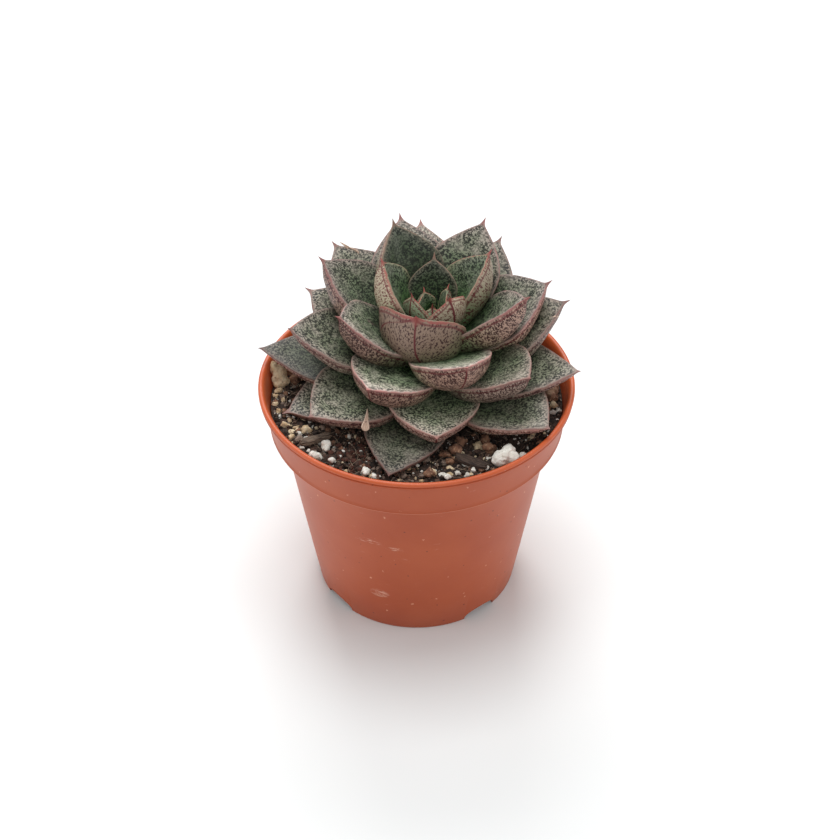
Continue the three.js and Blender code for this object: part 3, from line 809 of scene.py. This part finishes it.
def loose_stones():
    perlite = mottled("expanded_perlite", ("#f0eee6", "#e1ded4", "#c2bcae"), 0.6, 0.92, 0.15)
    pumice = mottled("cream_pumice", ("#dccbab", "#c6ac86", "#a08a70"), 0.8, 0.92, 0.35)
    rock = mottled("brown_lava_rock", ("#8c6750", "#614334", "#be9d80"), 0.7, 0.92, 0.35)
    stained = mottled("stained_pumice", ("#a0826a", "#7a5846", "#bfa58c"), 0.9, 0.92, 0.35)
    kinds = {"perlite": (perlite, "white_perlite"), "pumice": (pumice, "cream_pumice"),
             "rock": (rock, "brown_rock")}
    names = sorted(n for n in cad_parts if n.split("_")[0] in kinds)
    for index, name in enumerate(names):
        material, slot = kinds[name.split("_")[0]]
        if name == "pumice_front":
            material = rock
        if name == "pumice_right":
            material = stained
        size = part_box(name)[1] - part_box(name)[0]
        lobe_count, voxel, roughness_mm = (6, 0.24, 0.34) if max(size) > LARGE_STONE * MM else (4, 0.2, 0.16)
        lobes = LOBES.get(name) or lobes_in_box(name, lobe_count, index)
        lump(f"rough_{name}", lobes, voxel, roughness_mm, index * 3.1, material, [name])
    return perlite, pumice, rock


def grain_shapes(subdivisions):
    """Three crumbs, each a small rough ball, that the grains of one size are copied from."""
    shapes = []
    for seed in range(3):
        bpy.ops.mesh.primitive_ico_sphere_add(subdivisions=subdivisions, radius=1)
        crumb = named(f"crumb_{seed}")
        places = points_of(crumb.data)
        rough = 0.5 * unevenness(places, 0.9, 4.0 + seed) + 0.16 * unevenness(places, 0.35, 8.0 + seed)
        places *= (1 + rough)[:, None]
        faces = np.array([p.vertices[:] for p in crumb.data.polygons])
        shapes.append((places, faces))
        bpy.data.objects.remove(crumb)
    return shapes


def scatter(name, spots, shapes, material, seed):
    """Copies of the crumbs in one piece. A spot is x, y from the pot's axis, size, and sink in mm."""
    rng = random.Random(seed)
    all_places, all_faces, count = [], [], 0
    for x, y, size, sink in spots:
        places, faces = rng.choice(shapes)
        turn = Matrix.Rotation(rng.uniform(0, 6.28), 3, Vector((rng.uniform(-1, 1), rng.uniform(-1, 1), 1)))
        stretch = np.array([rng.uniform(0.8, 1.25), rng.uniform(0.75, 1.1), rng.uniform(0.6, 0.95)])
        turned = (places * stretch * size) @ np.array(turn).T
        turned += np.array([x, y, soil_height(x, y) - sink + size * 0.5])
        all_places.append(turned)
        all_faces.append(faces + count)
        count += len(turned)
    mesh = bpy.data.meshes.new(name)
    places = (np.concatenate(all_places) + np.array(POT_AXIS)) * MM
    mesh.from_pydata(places.tolist(), [], np.concatenate(all_faces).tolist())
    piece = bpy.data.objects.new(name, mesh)
    bpy.context.collection.objects.link(piece)
    finish_piece(piece, material, smooth=50)


def ring_spots(rng, count, inner, outer, sizes, sink):
    """Random places on the ring of soil between two radii, with more of the small sizes."""
    spots = []
    for _ in range(count):
        radius = math.sqrt(rng.uniform(inner ** 2, outer ** 2))
        turn = rng.uniform(0, 2 * math.pi)
        size = sizes[0] + (sizes[1] - sizes[0]) * rng.random() ** 2.5
        radius = min(radius, outer - size)
        spots.append((radius * math.cos(turn), radius * math.sin(turn), size, rng.uniform(-0.5, 1) * sink))
    return spots


# Pebbles that show well, from the pot's axis: x, y and size in mm.
WHITE_PEBBLES = [
    (-38, -1.5, 0.7), (-37.5, -7.5, 0.5), (-36.5, -8, 0.5), (-31, -15.5, 0.9), (-29, -17, 0.8),
    (-30, -21, 0.7), (-22, -26.5, 0.9), (-20, -24.5, 0.6), (-13, -30.5, 1.1), (-11, -32.5, 1.0),
    (13, -27.5, 1.1), (14.5, -30, 0.8), (10.5, -31, 0.9), (13, -32, 0.8), (18, -29, 0.7), (6.8, -32.3, 1.1),
    (38, -6, 0.8), (36.5, -6.5, 0.8), (37.5, -9.5, 0.4), (30, 19, 0.9), (-28, 24, 1.0), (6, 35, 0.9),
    (-12, 34, 0.8), (21, 30, 0.7),
]
TAN_PEBBLES = [
    (-37.5, 2.5, 1.2), (-38, 0, 0.8), (-36, -1.5, 0.8), (-37, -6, 0.8), (-32, -13, 0.9), (-33, -15, 1.1),
    (-29.5, -14, 1.5), (-33, -17, 1.0), (-35, -12, 0.9), (15, -28.5, 0.8), (8.5, -29.5, 0.9),
    (11, -25.5, 1.4), (16, -20.5, 1.6), (4.1, -31.6, 1.3), (-30, -9, 0.8), (-34, -6, 0.7), (33, 14, 1.4),
    (-22, 30, 1.3), (14, 34, 1.2), (-34, 15, 1.1),
]
BROWN_PEBBLES = [
    (-23.5, -14, 1.1), (19.5, -22, 1.5), (18, -18, 1.6), (11.5, -18.5, 1.7), (7.5, -24, 1.9),
    (8.5, -26.5, 1.2), (36, -1, 1.7), (34, -3, 1.2), (-35, 9.5, 1.9), (-33.5, 7, 1.8), (-20, -21, 0.8),
    (27, 25, 1.5), (-5, 36, 1.3), (-38, -2.5, 0.8),
]
# A patch of redder peat: x and y of its middle, and its radius.
RED_PATCH = (-17, -25, 6.5)


def fine_grains(peat, perlite, pumice, rock):
    flakes, balls, pebbles = [grain_shapes(subdivisions) for subdivisions in (1, 2, 3)]
    bark_crumb = mottled("composted_bark", ("#45322a", "#5f4537", "#2e201b"), 0.8, 0.9, 0.3)
    grit = mottled("grey_grit", ("#8a796d", "#65564c", "#ab9b8b"), 0.5, 0.92, 0.2)
    red_peat = mottled("red_brown_peat", ("#4a2a20", "#5f382a", "#33201a"), 0.6, 0.92, 0.3)
    rng = random.Random(7)
    # name: count, ring of soil, sizes, sink, shapes, material, slot and seed
    grains = {
        "peat_crumbs": (3400, 17, 39.2, (0.15, 0.95), 0.3, flakes, peat, "potting_soil", 1),
        "bark_crumbs": (1300, 18, 39.1, (0.15, 0.9), 0.2, flakes, bark_crumb, "potting_soil", 2),
        "pale_grains": (900, 20, 39.2, (0.12, 0.6), 0.1, balls, perlite, "white_perlite", 3),
        "tan_grains": (300, 20, 39.0, (0.2, 0.9), 0.2, balls, pumice, "cream_pumice", 4),
        "brown_grains": (240, 20, 39.0, (0.25, 1.1), 0.2, balls, rock, "brown_rock", 5),
        "grit_grains": (2000, 18, 39.2, (0.14, 0.6), 0.05, flakes, grit, "brown_rock", 8),
        "grit_pebbles": (170, 24, 38.8, (0.35, 1.1), 0.2, balls, grit, "brown_rock", 12),
    }
    for name, (count, inner, outer, sizes, sink, shapes, material, slot, seed) in grains.items():
        scatter(name, ring_spots(rng, count, inner, outer, sizes, sink), shapes, material, seed)
    patch_x, patch_y, patch_radius = RED_PATCH
    spots = ring_spots(rng, 200, 0, patch_radius, (0.2, 1.0), 0.1)
    spots = [(x + patch_x, y + patch_y, size, sink) for x, y, size, sink in spots]
    scatter("red_peat_crumbs", spots, flakes, red_peat, 9)
    for name, spots, material, slot in (("white_pebbles", WHITE_PEBBLES, perlite, "white_perlite"),
                                        ("tan_pebbles", TAN_PEBBLES, pumice, "cream_pumice"),
                                        ("brown_pebbles", BROWN_PEBBLES, rock, "brown_rock")):
        spots = [(x, y, size, size * 0.15) for x, y, size in spots]
        scatter(name, spots, pebbles, material, 6)


def bark_chips():
    """Chips of conifer bark 1.5 mm thick, ragged at the ends and grooved along their length."""
    pale_bark = fibrous("weathered_conifer_bark", "#3b2e26", "#9c8977")
    dark_bark = fibrous("damp_conifer_bark", "#211814", "#5c4a3f")
    for name, length, width, heading, bark in (("bark_left", 8.2, 2.3, 27, pale_bark),
                                               ("bark_right", 8.4, 2.9, -24, dark_bark)):
        bpy.ops.mesh.primitive_cube_add(size=1)
        chip = named(f"{name}_chip")
        chip.scale = (length * MM, width * MM, 1.5 * MM)
        settle(chip)
        edit_whole()
        bpy.ops.mesh.subdivide(number_cuts=23)
        close_edit()
        places = points_of(chip.data) / MM
        x, y = places[:, 0].copy(), places[:, 1].copy()
        taper = 1 - 0.35 * (np.abs(x) / (length / 2)) ** 3
        grooves = unevenness(np.stack([x * 0.18, y, places[:, 2] * 0.5], 1), 0.5, len(name))
        ragged = unevenness(np.stack([y, y * 0.3, places[:, 2]], 1), 0.6, 3.0)
        places[:, 1] = y * taper
        places[:, 0] = x + ragged * 0.8 * (np.abs(x) / (length / 2)) ** 6 * np.sign(x)
        places[:, 2] = places[:, 2] * (1 - 0.3 * (np.abs(y) / (width / 2)) ** 2) + 0.22 * grooves
        move_points(chip.data, places)
        store(chip.data, "skin_mm", y, x, places[:, 2])
        chip.location = sum(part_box(name), Vector()) / 2
        # one end is tipped down a little
        chip.rotation_euler = (0, math.radians(5), math.radians(heading))
        settle(chip)
        finish_piece(chip, bark, [name], smooth=60)


def fibres():
    """Coir and root fibres, 0.14 mm thick, lying on the mix."""
    rng = random.Random(11)
    curve = bpy.data.curves.new("coir_fibres", "CURVE")
    curve.dimensions = "3D"
    curve.bevel_depth = 0.07 * MM
    curve.bevel_resolution = 0
    curve.use_fill_caps = True
    for _ in range(170):
        turn = rng.uniform(0, 2 * math.pi)
        radius = math.sqrt(rng.uniform(21 ** 2, 37 ** 2))
        x, y = radius * math.cos(turn), radius * math.sin(turn)
        heading = rng.uniform(0, 2 * math.pi)
        step = rng.uniform(0.5, 1.1)
        points = []
        for _ in range(8):
            # a fibre stops before it reaches the wall
            if math.hypot(x, y) > 38.3:
                break
            points.append((x, y, soil_height(x, y) + 0.95 + rng.uniform(-0.2, 0.4)))
            heading += rng.uniform(-0.5, 0.5)
            x += step * math.cos(heading)
            y += step * math.sin(heading)
        if len(points) < 4:
            continue
        spline = curve.splines.new("POLY")
        spline.points.add(len(points) - 1)
        for target, place in zip(spline.points, points):
            target.co = (*((Vector(place) + POT_AXIS) * MM), 1)
    piece = bpy.data.objects.new("coir_fibres", curve)
    bpy.context.collection.objects.link(piece)
    pick(piece)
    bpy.ops.object.convert(target="MESH")
    piece = bpy.context.active_object
    store(piece.data, "skin_mm", *(points_of(piece.data) / MM * 0.6).T)
    finish_piece(piece, fibrous("coir_fibre", "#54402f", "#b3a18c"))


def dry_ends():
    """Papery remains of dead leaves: thin curled slivers."""
    paper = fibrous("dry_leaf_paper", "#a88670", "#ead2be")
    slivers = {
        # name: foot and top in mm from the pot's axis, width in mm, and the way the sliver faces
        "dry_sliver_front": ((-13.4, -22.4, 67.4), (-12.7, -17.4, 70.7), 2.1, (0.2, -1, 0.6)),
        "dry_sliver_back": ((-16.2, 34.9, 82.7), (-21.2, 37.3, 85.6), 1.9, (0.1, -1, 0.8)),
        "dry_sliver_right": ((37.8, 9.0, 81.2), (36.3, 7.2, 82.2), 0.7, (-0.3, -1, 0.8)),
    }
    for name, (foot, top, width, facing) in slivers.items():
        bpy.ops.mesh.primitive_grid_add(x_subdivisions=6, y_subdivisions=18, size=1)
        sliver = named(name)
        unit = points_of(sliver.data)
        across, along = unit[:, 0] * 2, unit[:, 1] + 0.5
        foot, top = np.array(foot), np.array(top)
        run = top - foot
        side = np.cross(run, np.array(facing))
        side /= np.linalg.norm(side)
        out = np.cross(side, run)
        out /= np.linalg.norm(out)
        share = np.interp(along, (0, 0.1, 0.25, 0.45, 0.7, 1), (0.5, 1, 0.9, 0.5, 0.3, 0.04))
        curl = -0.7 * (across ** 2) * share + 0.2 * np.sin(7 * along)
        places = (foot + np.outer(along, run) + np.outer(across * share * width / 2, side)
                  - np.outer(curl * width / 2, out))
        move_points(sliver.data, places + np.array(POT_AXIS))
        store(sliver.data, "skin_mm", across * width, along * 6, along * 0)
        apply_modifier(sliver, "SOLIDIFY", thickness=0.18 * MM, offset=0)
        finish_piece(sliver, paper)


# ---------- stage, light and camera


MIDDLE = Vector((0, 0, 0.05))
# The camera, as it was fitted to the pot's lip and foot: place in metres, tilt in degrees and lens in mm.
CAMERA_PLACE = (0.00052, -0.3882, 0.37255)
CAMERA_TILT = 50.19
CAMERA_LENS = 78.41


def stage():
    bpy.ops.mesh.primitive_plane_add(size=6)
    floor = named("floor")
    paint, _, shader = new_material("white_sweep", 0.9)
    shader.inputs["Base Color"].default_value = (0.84, 0.86, 0.86, 1)
    shader.inputs["Specular IOR Level"].default_value = 0.0
    floor.data.materials.append(paint)
    world = bpy.data.worlds.new("studio")
    world.use_nodes = True
    world.node_tree.nodes["Background"].inputs["Color"].default_value = (1, 1, 1, 1)
    world.node_tree.nodes["Background"].inputs["Strength"].default_value = 0.47
    bpy.context.scene.world = world
    # name: place in metres, watts and size in metres
    lights = {
        "top_softbox": ((-0.02, 0.1, 1.0), 4.8, 0.5),
        "back_softbox": ((-0.08, 0.7, 0.65), 4.4, 0.5),
        "front_softbox": ((0.25, -0.9, 0.75), 1.65, 0.6),
        "left_softbox": ((-0.95, -0.15, 0.3), 1.9, 0.5),
        "right_softbox": ((0.95, -0.15, 0.3), 1.5, 0.5),
    }
    # each aimed at the middle of the plant and its pot
    for name, (place, watts, size) in lights.items():
        bpy.ops.object.light_add(type="AREA", location=place)
        light = bpy.context.active_object
        light.name = name
        light.data.energy = watts
        light.data.size = size
        aim = MIDDLE - Vector(place)
        light.rotation_euler = aim.to_track_quat("-Z", "Y").to_euler()
    bpy.ops.object.camera_add(location=CAMERA_PLACE, rotation=(math.radians(CAMERA_TILT), 0, 0))
    camera = bpy.context.active_object
    camera.data.lens = CAMERA_LENS
    camera.data.sensor_width = 36
    camera.data.clip_start = 0.01
    bpy.context.scene.camera = camera
    bpy.context.scene.view_settings.view_transform = "Standard"


# ---------- the scene

nursery_pot()
rosette()
peat = potting_mix()
perlite, pumice, rock = loose_stones()
fine_grains(peat, perlite, pumice, rock)
bark_chips()
fibres()
dry_ends()
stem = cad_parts["stem"]
stem.data.materials.clear()
stem.data.materials.append(mottled("succulent_stem", ("#7f8d62", "#8d9870", "#6c7454"), 1.2, 0.6, 0.1))
stage()
